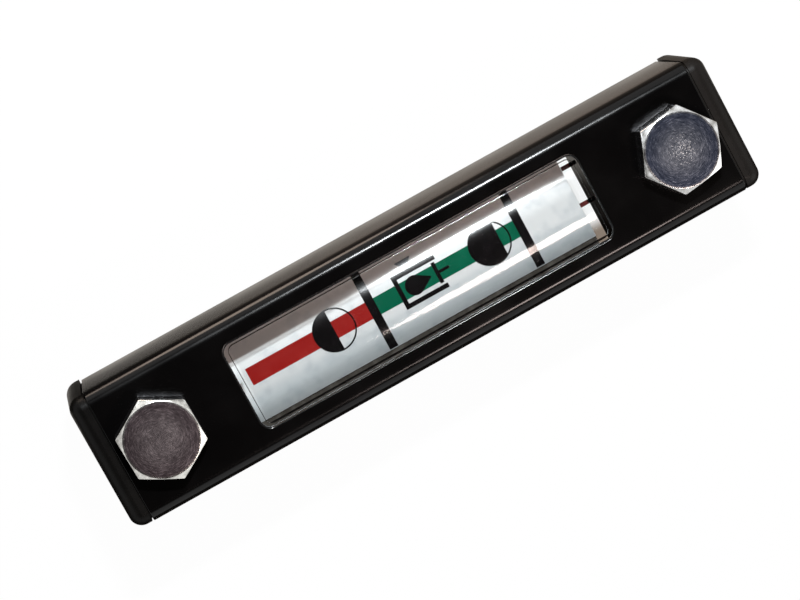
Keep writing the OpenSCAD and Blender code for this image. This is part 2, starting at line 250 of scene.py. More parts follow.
class Socket:
    """A shader value that can be written in sums: each operator adds the Math node that works it out."""

    def __init__(self, paint: "Paint", output: Any) -> None:
        """Holds an output socket of a material that is being painted."""
        self.paint = paint
        self.output = output

    __add__ = __radd__ = math_node("ADD")
    __mul__ = __rmul__ = math_node("MULTIPLY")
    __sub__ = math_node("SUBTRACT")
    __rsub__ = math_node("SUBTRACT", swapped=True)
    __truediv__ = math_node("DIVIDE")
    __pow__ = math_node("POWER")
    __gt__ = math_node("GREATER_THAN")
    __lt__ = math_node("LESS_THAN")
    abs = math_node("ABSOLUTE")
    sqrt = math_node("SQRT")

    def smooth(self, low: float, high: float, start: float = 0.0, end: float = 1.0) -> "Socket":
        """Eases from start to end while the value goes from low to high."""
        return self.paint.add(
            "ShaderNodeMapRange", {"interpolation_type": "SMOOTHSTEP", "clamp": True},
            {"Value": self, "From Min": low, "From Max": high, "To Min": start, "To Max": end},
        )


class Paint:
    """Builds one material, or the world: its nodes, the places that it reads, and its shader."""

    def __init__(self, name: str, kind: str = "Material") -> None:
        """Starts an empty one that reads Object coordinates.

        Args:
            name: its name.
            kind: "Material" or "World".
        """
        self.owner = (bpy.data.worlds if kind == "World" else bpy.data.materials).new(name)
        self.owner.use_nodes = True
        self.tree = self.owner.node_tree
        self.tree.nodes.clear()
        self.out = self.tree.nodes.new("ShaderNodeOutput" + kind)
        self.place = self.add("ShaderNodeTexCoord", {}, {}, "Object")

    def add(self, kind: str, settings: dict[str, Any], values: dict[Any, Any], output: Any = 0) -> Socket:
        """Adds a node of a kind, sets it up and feeds it.

        Args:
            kind: the node's type.
            settings: its own properties.
            values: what its input sockets get, by name or number: a Socket, or a plain value.
            output: the output wanted, by name or number.

        Returns:
            That output.
        """
        node = self.tree.nodes.new(kind)
        for key, value in settings.items():
            setattr(node, key, value)
        for key, value in values.items():
            socket = node.inputs[key]
            if isinstance(value, Socket):
                self.tree.links.new(value.output, socket)
            elif isinstance(value, tuple) and len(value) == 3 and socket.type == "RGBA":
                socket.default_value = (*value, 1.0)
            else:
                socket.default_value = value
        return Socket(self, node.outputs[output])

    def axes(self, vector: "Socket | None" = None) -> tuple[Socket, Socket, Socket]:
        """Takes a vector apart.

        Args:
            vector: the vector, or if there is none the place on the piece.

        Returns:
            Its three parts.
        """
        source = vector or self.place
        node = self.tree.nodes.new("ShaderNodeSeparateXYZ")
        self.tree.links.new(source.output, node.inputs[0])
        return tuple(Socket(self, node.outputs[i]) for i in range(3))

    def vector(self, x: Any, y: Any, z: Any) -> Socket:
        """A vector from three values."""
        return self.add("ShaderNodeCombineXYZ", {}, {0: x, 1: y, 2: z})

    def rays(self, *kinds: str) -> list[Socket]:
        """For each kind of ray named, 1 where such a ray arrives, else 0."""
        node = self.tree.nodes.new("ShaderNodeLightPath")
        return [Socket(self, node.outputs[kind]) for kind in kinds]

    def noise(self, size: float, detail: float = 2.0, rough: float = 0.5,
              vector: "Socket | None" = None) -> Socket:
        """Cloudy noise, from 0 to 1, whose patches are about the given size in metres across."""
        values = {"Vector": vector or self.place, "Scale": 1.0 / size, "Detail": detail, "Roughness": rough}
        return self.add("ShaderNodeTexNoise", {}, values, "Fac")

    def specks(self, size: float) -> Socket:
        """Distance from scattered points that lie about size metres apart, as a share of it."""
        values = {"Vector": self.place, "Scale": 1.0 / size}
        return self.add("ShaderNodeTexVoronoi", {"feature": "F1"}, values, "Distance")

    def mix(self, share: Any, first: Any, second: Any, blend: str = "MIX") -> Socket:
        """Colour from the first to the second, or to their product, as the share goes from 0 to 1."""
        settings = {"data_type": "RGBA", "blend_type": blend}
        return self.add("ShaderNodeMix", settings, {0: share, 6: first, 7: second}, 2)

    def blend(self, share: Any, first: Socket, second: Socket) -> Socket:
        """Shader that goes from the first to the second as the share goes from 0 to 1."""
        return self.add("ShaderNodeMixShader", {}, {0: share, 1: first, 2: second})

    def bump(self, height: Any, depth: float, strength: float = 1.0, under: "Socket | None" = None) -> Socket:
        """A normal disturbed by a height.

        Args:
            height: from 0 to 1.
            depth: what a height of 1 stands for, in metres.
            strength: share of the disturbance that shows.
            under: the normal that it disturbs, if not the surface's own.

        Returns:
            The normal.
        """
        values = {"Height": height, "Distance": depth, "Strength": strength}
        if under is not None:
            values["Normal"] = under
        return self.add("ShaderNodeBump", {}, values, "Normal")

    def surface(self, **values: Any) -> Socket:
        """The main shader, its sockets given by name with underscores for spaces."""
        named = {key.replace("_", " "): value for key, value in values.items()}
        return self.add("ShaderNodeBsdfPrincipled", {}, named)

    def finish(self, shader: Socket) -> Any:
        """Joins the shader to the output and returns the material or world."""
        self.tree.links.new(shader.output, self.out.inputs["Surface"])
        return self.owner


@dataclass(frozen=True)
class BlackPaint:
    """Satin black paint on sheet steel: fine orange peel, slightly cloudy gloss and a few specks of dust."""

    colour: Colour = (0.0013, 0.0011, 0.0011)
    dust: Colour = (0.10, 0.10, 0.10)
    rough: float = 0.17
    shine: float = 0.26
    peel_size: float = 0.9 * MM
    peel_depth: float = 0.0004 * MM
    cloud_size: float = 14 * MM
    dust_spacing: float = 9 * MM
    dust_share: float = 0.012
    dust_rough: float = 0.4
    smoother: float = 0.85
    rougher: float = 1.2

    def material(self) -> bpy.types.Material:
        """Builds the finish: its roughness goes from smoother to rougher times rough with the clouds.

        Returns:
            The material.
        """
        paint = Paint("guard_paint")
        cloud = paint.noise(self.cloud_size, 3.0)
        dust = paint.specks(self.dust_spacing) < self.dust_share
        colour = paint.mix(dust, self.colour, self.dust)
        rough = cloud.smooth(0.3, 0.7, self.rough * self.smoother, self.rough * self.rougher)
        rough = rough + dust * self.dust_rough
        peel = paint.noise(self.peel_size, 2.0)
        return paint.finish(paint.surface(
            Base_Color=colour, Roughness=rough, Specular_IOR_Level=self.shine,
            Normal=paint.bump(peel, self.peel_depth),
        ))


@dataclass(frozen=True)
class CapPlastic:
    """Black moulded plastic with a fine eroded grain and faint patches. The upper cap is paler all over."""

    colour: Colour = (0.0014, 0.0012, 0.0010)
    pale: Colour = (0.0105, 0.0088, 0.0076)
    rough: float = 0.38
    shine: float = 0.12
    grain: float = 0.28 * MM
    grain_depth: float = 0.012 * MM
    patch: float = 7 * MM
    patch_share: float = 0.15
    upper_share: float = 0.75
    rough_spread: float = 0.16

    def material(self) -> bpy.types.Material:
        """Builds the finish.

        Returns:
            The material.
        """
        paint = Paint("cap_plastic")
        patch = paint.noise(self.patch, 4.0, 0.6)
        grain = paint.noise(self.grain, 3.0, 0.6)
        _, _, z = paint.axes()
        pale = patch.smooth(0.4, 0.75) * self.patch_share + (z > 0.0) * self.upper_share
        colour = paint.mix(pale, self.colour, self.pale)
        rough = self.rough + (patch - 0.5) * self.rough_spread
        return paint.finish(paint.surface(
            Base_Color=colour, Roughness=rough, Specular_IOR_Level=self.shine,
            Normal=paint.bump(grain, self.grain_depth),
        ))


@dataclass(frozen=True)
class ClearPlastic:
    """Clear polished plastic. It shows what is behind it and mirrors the rest as the angle grows.

    The ground end faces and the wetted walls of the chamber mirror nothing. The pad's rounded edge, and the
    rim of its face beside it, bend the view into the dark gap round the pad, so a painted shade tints them
    dark. A painted shadow tints the rear at the upper end, past the foil: brown, for the shaded floor seen
    through it.
    """

    clear: Colour = (0.995, 1.0, 1.0)
    straight_on: float = 0.035
    rough: float = 0.09
    ground_from: float = 44.6 * MM
    # painted shadow: a brown tint that stands in for the shaded floor seen through the upper end
    painted_floor_shadow: Colour = (0.26, 0.21, 0.17)
    painted_floor_shadow_from: Span = (5.6 * MM, 9.6 * MM)
    painted_floor_shadow_low: float = 40.9 * MM
    rear: float = -14.0 * MM
    # painted shade: a dark tint that stands in for the dark gap seen through the pad's bent edge
    painted_gap_shade: Colour = (0.06, 0.055, 0.052)
    edge_y: Span = (-25.66 * MM, -25.30 * MM)
    edge_x: Span = (-9.5 * MM, 9.1 * MM)
    wall_x: Span = (7.6 * MM, 7.8 * MM)
    wall_front: float = -22.6 * MM
    end_wall: float = 41.7 * MM

    def material(self) -> bpy.types.Material:
        """Builds the finish: share mirrored = straight_on + (1 - straight_on) * facing ** 5.

        Returns:
            The material.
        """
        paint = Paint("clear_plastic")
        x, y, z = paint.axes()
        facing = paint.add("ShaderNodeLayerWeight", {}, {"Blend": 0.5}, "Facing")
        share = self.straight_on + (1 - self.straight_on) * facing ** 5.0
        beside = (x > self.edge_x[1]) + (x < self.edge_x[0])
        # painted shade: the bent edge and the rim beside it are tinted dark in place of the dark gap that
        # they show
        bent = (y < self.edge_y[1]) * (1.0 - (y < self.edge_y[0]) * (1.0 - beside))
        across = x.abs()
        walls = (across > self.wall_x[0]) * (across < self.wall_x[1]) * (y > self.wall_front)
        ends = (z.abs() > self.end_wall) * (y > self.wall_front)
        polished = (z.abs() < self.ground_from) * (1.0 - bent) * (1.0 - walls) * (1.0 - ends)
        # painted shadow: brown over the rear at the upper end, past the foil, for the shaded floor behind
        painted_floor_shadow_share = x.smooth(*self.painted_floor_shadow_from) * (z > self.painted_floor_shadow_low) * (y > self.rear)
        clear, painted_floor_shadow, dark = (paint.add("ShaderNodeBsdfTransparent", {}, {"Color": colour})
                             for colour in (self.clear, self.painted_floor_shadow, self.painted_gap_shade))
        see = paint.blend(bent, paint.blend(painted_floor_shadow_share, clear, painted_floor_shadow), dark)
        mirror = paint.add("ShaderNodeBsdfGlossy", {}, {"Color": WHITE, "Roughness": self.rough})
        return paint.finish(paint.blend(share * polished, see, mirror))


@dataclass(frozen=True)
class Foil:
    """Bright satin foil with a fine lengthwise brushing and faint crinkles.

    Its colour paints light: a painted glow makes it brightest left of the middle, a painted shadow makes it
    dull and a little brown along its left edge, and painted shade makes it grey along its right.
    """

    # painted light across the strip: a glow left of the middle, shadow along the left edge, shade along the
    # right
    bright: float = 0.98
    plain: float = 0.77
    painted_glow_to: Span = (-3.0 * MM, 0.2 * MM)
    painted_shadow_brown: Colour = (0.57, 0.53, 0.515)
    painted_shadow_to: Span = (-5.3 * MM, -4.4 * MM)
    painted_shade_from: Span = (5.2 * MM, 10.0 * MM)
    grey: float = 0.48
    tint: Colour = (0.97, 0.995, 1.0)
    wear_and_glint: Colour = (0.80, 0.82, 0.84)
    wear: float = 0.8
    metal: float = 0.4
    rough: float = 0.42
    brush: tuple[float, float, float] = (9000.0, 9000.0, 260.0)
    brush_rough: float = 0.12
    brush_depth: float = 0.002 * MM
    crinkle: float = 2.6 * MM
    crinkle_rough: float = 0.1
    crinkle_depth: float = 0.05 * MM

    def material(self) -> bpy.types.Material:
        """Builds the finish: the brushing is noise on the place scaled by brush, which draws it out along Z.

        Returns:
            The material.
        """
        paint = Paint("strip_foil")
        drawn_out = paint.add("ShaderNodeMapping", {}, {"Vector": paint.place, "Scale": self.brush})
        lines = paint.noise(1.0, vector=drawn_out)
        creases = paint.noise(self.crinkle, 4.0, 0.55)
        x, _, _ = paint.axes()
        # painted glow left of the middle, and painted shade greying the right edge
        painted_tone = x.smooth(*self.painted_glow_to, self.bright, self.plain) * x.smooth(*self.painted_shade_from, 1.0, self.grey)
        # painted shadow: dull brown along the left edge, where the guard shades the strip from the key
        colour = paint.mix(x.smooth(*self.painted_shadow_to), self.painted_shadow_brown, self.tint)
        colour = paint.mix(1.0, colour, painted_tone, "MULTIPLY")
        colour = paint.mix(creases.smooth(0.42, 0.75) * self.wear, colour, self.wear_and_glint, "MULTIPLY")
        rough = self.rough + (lines - 0.5) * self.brush_rough + (creases - 0.5) * self.crinkle_rough
        under = paint.bump(creases, self.crinkle_depth, 0.5)
        return paint.finish(paint.surface(
            Base_Color=colour, Roughness=rough, Metallic=self.metal,
            Normal=paint.bump(lines, self.brush_depth, 0.6, under),
        ))


@dataclass(frozen=True)
class Ink:
    """Printed ink: one colour that thins a little in patches and shows the print's fine screen.

    Above the height black_from it lies over the cap's dark inner face and looks as dark.
    """

    name: str
    colour: Colour
    thin: Colour
    black_from: float = 45 * MM
    black: Colour = (0.001, 0.001, 0.001)
    rough: float = 0.17
    rough_spread: float = 0.06
    shine: float = 0.16
    patch: float = 3.5 * MM
    patch_share: float = 0.8
    screen: float = 0.22 * MM
    screen_share: float = 0.2
    screen_depth: float = 0.0006 * MM

    def material(self) -> bpy.types.Material:
        """Builds the finish.

        Returns:
            The material.
        """
        paint = Paint(self.name)
        patch = paint.noise(self.patch, 4.0, 0.6)
        screen = paint.noise(self.screen, 2.0)
        share = patch.smooth(0.35, 0.8) * self.patch_share + screen.smooth(0.5, 0.8) * self.screen_share
        _, _, z = paint.axes()
        colour = paint.mix(share, self.colour, self.thin)
        return paint.finish(paint.surface(
            Base_Color=paint.mix(z > self.black_from, colour, self.black),
            Roughness=self.rough + (screen - 0.5) * self.rough_spread, Specular_IOR_Level=self.shine,
            Normal=paint.bump(screen, self.screen_depth),
        ))


@dataclass(frozen=True)
class TurnedZinc:
    """Plated steel turned in a lathe: fine rings about the bolt's axis, cloudy tint and worn bright specks.

    Painted shade darkens the head's face towards its rim, and painted glints thicken the bright specks
    towards its middle, in place of the turned face's gloss. The cone round that face goes from chamfer to
    bright with the clouds, and the flats of the head are darker than the rest.
    """

    name: str
    axis_z: float
    tint: Colour
    pale: Colour
    bright: Colour
    # painted shade towards the rim of the head's face
    painted_rim_shade: Colour
    painted_rim_share: float
    # share of painted glints added to the bright specks in the middle of the face
    wear_and_glint: float
    chamfer: Colour = (0.36, 0.35, 0.33)
    flats: Colour = (0.19, 0.19, 0.205)
    flats_y: Span = (-31.0 * MM, -26.1 * MM)
    ring: float = 0.24 * MM
    ring_depth: float = 0.0045 * MM
    arcs_round: float = 5.0
    cloud: float = 2.4 * MM
    grit: float = 0.26 * MM
    grit_depth: float = 0.005 * MM
    top_y: float = -31.8 * MM
    flat_r: float = 8.28 * MM
    before_edge: float = 0.5 * MM
    past_edge: float = 0.1 * MM
    painted_glint_r: Span = (0.8 * MM, 6.5 * MM)
    painted_rim_r: Span = (2.0 * MM, 7.6 * MM)
    rough: float = 0.25
    off_axis: float = 0.02 * MM

    def material(self) -> bpy.types.Material:
        """Builds the finish: rings follow r = sqrt(x^2 + (z - axis_z)^2), kept off 0 by off_axis.

        The turning marks are noise on (x / r, up / r, r), which draws each blotch out into an arc of a ring.

        Returns:
            The material.
        """
        paint = Paint(self.name)
        x, y, z = paint.axes()
        up = z - self.axis_z
        radius = (x * x + up * up).sqrt() + self.off_axis
        rings = paint.noise(self.ring, 2.0, 0.6, paint.vector(radius, 0.0, 0.0))
        marks = paint.vector(x / radius * self.arcs_round, up / radius * self.arcs_round, radius / self.ring)
        arcs = paint.noise(1.0, 3.0, 0.7, marks)
        cloud = paint.noise(self.cloud, 5.0, 0.65)
        grit = paint.noise(self.grit, 3.0, 0.7)
        on_top = y < self.top_y
        # painted glints: more bright specks towards the middle of the face
        middle = radius.smooth(*self.painted_glint_r, 1.0, 0.0)
        specks = (grit * 0.6 + arcs * 0.4 + middle * self.wear_and_glint * on_top).smooth(0.66, 0.78)
        edge = radius.smooth(self.flat_r - self.before_edge, self.flat_r + self.past_edge)
        off_top = 1.0 - on_top * (1.0 - edge)
        share = cloud.smooth(0.35, 0.7) * 0.4 + arcs.smooth(0.35, 0.65) * 0.4 + rings.smooth(0.35, 0.65) * 0.2
        base = paint.mix(share, self.tint, self.pale)
        # painted shade: the face darkens towards its rim
        rim = radius.smooth(*self.painted_rim_r) * (1.0 - arcs.smooth(0.5, 0.75) * 0.6)
        base = paint.mix(rim * self.painted_rim_share, base, self.painted_rim_shade)
        base = paint.mix(off_top, base, paint.mix(cloud.smooth(0.3, 0.7), self.chamfer, self.bright))
        base = paint.mix(specks, base, self.bright)
        base = paint.mix((y > self.flats_y[0]) * (y < self.flats_y[1]), base, self.flats)
        rough = self.rough + (arcs - 0.5) * 0.2 + (cloud - 0.5) * 0.1 + specks * 0.12
        under = paint.bump(rings * 0.5 + arcs * 0.5, self.ring_depth)
        return paint.finish(paint.surface(
            Base_Color=base, Metallic=1.0, Roughness=rough,
            Normal=paint.bump(grit, self.grit_depth, 0.6, under),
        ))


@dataclass(frozen=True)
class SealRubber:
    """Smooth black rubber with a dull bloom."""

    colour: Colour = (0.018, 0.018, 0.018)
    bloom: Colour = (0.04, 0.04, 0.042)

    def material(self) -> bpy.types.Material:
        """Builds the finish.

        Returns:
            The material.
        """
        paint = Paint("seal_rubber")
        patch = paint.noise(1.2 * MM, 3.0)
        return paint.finish(paint.surface(
            Base_Color=paint.mix(patch.smooth(0.4, 0.8), self.colour, self.bloom),
            Roughness=0.45 + (patch - 0.5) * 0.2, Normal=paint.bump(patch, 0.01 * MM),
        ))


# Outlines


def walk_sides(across: int, along: int) -> Iterator[tuple[int, Array, Array]]:
    """Walks the right, upper, left and lower side of a rectangle, each a quarter turn on from the last.

    Args:
        across: steps along each level side.
        along: steps along each upright side.

    Yields:
        The side's steps, the unit direction out of it and the one along it.
    """
    for quarter, steps in enumerate((along, across, along, across)):
        angle = quarter * np.pi / 2
        side = np.array([np.cos(angle), np.sin(angle)])
        yield steps, side, np.array([-side[1], side[0]])


def hole_outline(half_x: float, half_z: float, radius: float, across: int, along: int,
                 arc: int) -> tuple[Array, Array]:
    """A rectangle with round corners, walked once round, starting up its right side.

    Each corner is an arc of the given radius about a centre set back by that radius; a hole as wide and as
    high as its corner radius is a circle.

    Args:
        half_x: half its width.
        half_z: half its height.
        radius: corner radius.
        across: steps along each straight level side.
        along: steps along each straight upright side.
        arc: steps round each corner.

    Returns:
        The points and the unit directions away from the hole, each N x 2.
    """
    flat_x, flat_z = half_x - radius, half_z - radius
    turn = np.linspace(0, np.pi / 2, arc, endpoint=False)
    points, normals = [], []
    for steps, side, forward in walk_sides(across, along):
        reach = abs(side[0]) * half_x + abs(side[1]) * half_z
        half = abs(side[0]) * flat_z + abs(side[1]) * flat_x
        spots = np.linspace(-half, half, steps, endpoint=False)[:, None] if steps else np.zeros((0, 1))
        points.append(side * reach + forward * spots)
        normals.append(np.tile(side, (len(spots), 1)))
        rays = side * np.cos(turn)[:, None] + forward * np.sin(turn)[:, None]
        points.append(side * (reach - radius) + forward * half + rays * radius)
        normals.append(rays)
    return np.vstack(points), np.vstack(normals)


def frame_outline(half_x: float, half_z: float, zone: float, across: int, along: int, arc: int) -> Array:
    """The rectangle round a hole, with as many points, matched to hole_outline's walk.

    Half of each corner's steps run up to the corner over the zone before it, and half over the zone after.

    Args:
        half_x: half the rectangle's width.
        half_z: half its height.
        zone: length of a corner's zone on each side; a side without straight steps is all zone.
        across: steps along each level side.
        along: steps along each upright side.
        arc: steps round each corner, an even number.

    Returns:
        The points, N x 2.
    """
    zone_x = zone if across else half_x
    zone_z = zone if along else half_z
    points = []
    for steps, side, forward in walk_sides(across, along):
        upright = abs(side[0]) > 0.5
        reach, half = (half_x, half_z) if upright else (half_z, half_x)
        zone_here, zone_next = (zone_z, zone_x) if upright else (zone_x, zone_z)
        straight = half - zone_here
        spots = np.linspace(-straight, straight, steps, endpoint=False) if steps else np.zeros(0)
        spots = np.append(spots, np.linspace(straight, half, arc // 2, endpoint=False))
        points.append(side * reach + forward * spots[:, None])
        corner = side * reach + forward * half
        back = np.linspace(0, zone_next, arc // 2, endpoint=False)[:, None]
        points.append(corner - side * back)
    return np.vstack(points)


# The guard


@dataclass
class Guard:
    """The folded steel channel with its window and its two bolt holes.

    The plate is worked out flat: s runs across it along its outer skin, z along it, and depth is measured in
    from that skin. The map from there to space bends the plate round its two folds.
    """

    low: Vector
    high: Vector
    bolt_z: float
    thick: float = 1.5 * MM
    fold_r: float = 3 * MM
    window_half: Span = (10.1 * MM, 43.35 * MM)
    window_r: float = 2.2 * MM
    hole_r: float = 7.3 * MM
    window_edge: float = 0.5 * MM
    other_edge: float = 0.22 * MM
    support: float = 0.05 * MM
    steps_across: int = 14
    steps_along: int = 72
    steps_arc: int = 24
    rim_steps: int = 6
    skin_steps: int = 7
    skin_bias: float = 1.3
    fold_steps: int = 17
    wall_steps: int = 9

    @property
    def flat_half(self) -> float:
        """Half the width of the flat front."""
        return self.high.x - self.fold_r

    @property
    def fold_length(self) -> float:
        """Length of a fold, measured along the outer skin."""
        return self.fold_r * math.pi / 2

    @property
    def half_s(self) -> float:
        """Half the developed width of the plate."""
        return self.flat_half + self.fold_length + self.high.y - self.low.y - self.fold_r

    def bend(self, s: Array, z: Array, depth: Array) -> Array:
        """Carries plate coordinates into space.

        Up to the flat's edge, x = s and y = front + depth. Round the fold, the angle is (s - flat) / fold_r
        and the point lies fold_r - depth from the fold's centre line. Past it, the wall runs back along +Y.

        Args:
            s: place across the plate.
            z: place along it.
            depth: depth below the outer skin.

        Returns:
            Points with a last axis of 3.
        """
        s, z, depth = np.broadcast_arrays(s, z, depth)
        side, size = np.sign(s), np.abs(s)
        centre_y = self.low.y + self.fold_r
        angle = np.clip((size - self.flat_half) / self.fold_r, 0, np.pi / 2)
        radius = self.fold_r - depth
        past = np.maximum(size - self.flat_half - self.fold_length, 0)
        x = np.minimum(size, self.flat_half) + radius * np.sin(angle)
        y = centre_y - radius * np.cos(angle) + past
        return np.stack([x * side, y, z], axis=-1)

    def rim(self, edge: float) -> tuple[Array, Array]:
        """How far in from a cut edge, and how deep, each row of its rounded rim lies.

        The rows are a support row, a quarter circle, the wall and the same again on the inner skin.

        Args:
            edge: radius of the rim's two corners.

        Returns:
            Offsets and depths.
        """
        turn = np.linspace(0, np.pi / 2, self.rim_steps)
        offset = np.concatenate([[edge + self.support], edge * (1 - np.sin(turn))])
        depth = np.concatenate([[0], edge * (1 - np.cos(turn))])
        return np.append(offset, offset[::-1]), np.append(depth, self.thick - depth[::-1])

    def panel(self, shell: Shell, half: Span, radius: float, frame_half: Span, centre_z: float, edge: float,
              across: int, along: int, arc: int) -> Array:
        """Adds one hole: its rim, and both skins from the rim out to a rectangle.

        Between the rim and the rectangle the rows go straight from one outline to the other, closer together
        towards the rim: row i of n lies at (i / n) ** skin_bias of the way.

        Args:
            shell: what it is added to.
            half: half the hole's width and height.
            radius: its corner radius.
            frame_half: half the rectangle's width and height.
            centre_z: height of both centres.
            edge: radius of the rim.
            across: steps along each level side.
            along: steps along each upright side.
            arc: steps round each corner.

        Returns:
            The rectangle's points about its own centre, N x 2.
        """
        hole, away = hole_outline(*half, radius, across, along, arc)
        outer = frame_outline(*frame_half, frame_half[0] - half[0] + radius, across, along, arc)
        offset, depth = self.rim(edge)
        rows = hole + offset[:, None, None] * away
        shell.grid(self.bend(rows[..., 0], rows[..., 1] + centre_z, depth[:, None]), wrap_columns=True)
        share = (np.linspace(0, 1, self.skin_steps) ** self.skin_bias)[:, None, None]
        rows = rows[0] * (1 - share) + outer * share
        for level in (0.0, self.thick):
            shell.grid(self.bend(rows[..., 0], rows[..., 1] + centre_z, np.array(level)), wrap_columns=True)
        return outer

    def build(self) -> bpy.types.Object:
        """Joins the three panels, the two folded sides and the outer rim.

        Returns:
            The guard.
        """
        shell = Shell()
        inset = self.other_edge + self.support
        end_z = self.high.z - inset
        end_half = end_z - self.bolt_z
        window_frame = (self.flat_half, self.bolt_z - end_half)
        window_edge = self.panel(shell, self.window_half, self.window_r, window_frame, 0.0, self.window_edge,
                                 self.steps_across, self.steps_along, self.steps_arc)
        for centre_z in (-self.bolt_z, self.bolt_z):
            bolt_edge = self.panel(shell, (self.hole_r, self.hole_r), self.hole_r, (self.flat_half, end_half),
                                   centre_z, self.other_edge, 0, 0, 2 * self.steps_arc)

        on_side = np.isclose(window_edge[:, 0], self.flat_half)
        middle = window_edge[on_side, 1]
        by_bolt = bolt_edge[np.isclose(bolt_edge[:, 0], self.flat_half), 1]
        heights = np.concatenate([middle, by_bolt + self.bolt_z, by_bolt - self.bolt_z,
                                  [-window_frame[1], window_frame[1], end_z, -end_z]])
        heights = np.unique(np.round(heights, 9))
        top = bolt_edge[np.isclose(bolt_edge[:, 1], end_half), 0]
        across = np.unique(np.round(np.append(top, [-self.flat_half, self.flat_half]), 9))

        fold = np.linspace(0, self.fold_length, self.fold_steps)
        wall = np.linspace(self.fold_length, self.half_s - self.flat_half - inset, self.wall_steps)[1:]
        beyond = self.flat_half + np.append(fold, wall)
        for side in (-1, 1):
            for level in (0.0, self.thick):
                shell.grid(self.bend(side * beyond[:, None], heights, np.array(level)))

        offset, depth = self.rim(self.other_edge)
        reach = offset - inset
        for side in (-1, 1):
            ends = np.tile(heights, (len(offset), 1))
            ends[:, 0], ends[:, -1] = -end_z + reach, end_z - reach
            s = np.broadcast_to(side * (self.half_s - offset)[:, None], ends.shape)
            shell.grid(self.bend(s, ends, depth[:, None]))
            places = np.concatenate([-beyond[::-1], across[1:-1], beyond])
            places = np.tile(places, (len(offset), 1))
            places[:, 0], places[:, -1] = -self.half_s + offset, self.half_s - offset
            z = np.broadcast_to(side * (self.high.z - offset)[:, None], places.shape)
            shell.grid(self.bend(places, z, depth[:, None]))
        return shell.piece("guard_shell")


# The hollow bolts


class Rows:
    """The rows of a turned surface: a radius and a height at each of its columns' angles."""

    def __init__(self, angle: Array) -> None:
        """Starts with no rows."""
        self.angle = angle
        self.radii: list[Array] = []
        self.heights: list[Array] = []

    def add(self, radius: Any, height: Any) -> None:
        """Adds a row.

        Args:
            radius: one number all round, or an array with one for each angle.
            height: the same.
        """
        ones = np.ones_like(self.angle)
        self.radii.append(radius * ones)
        self.heights.append(height * ones)


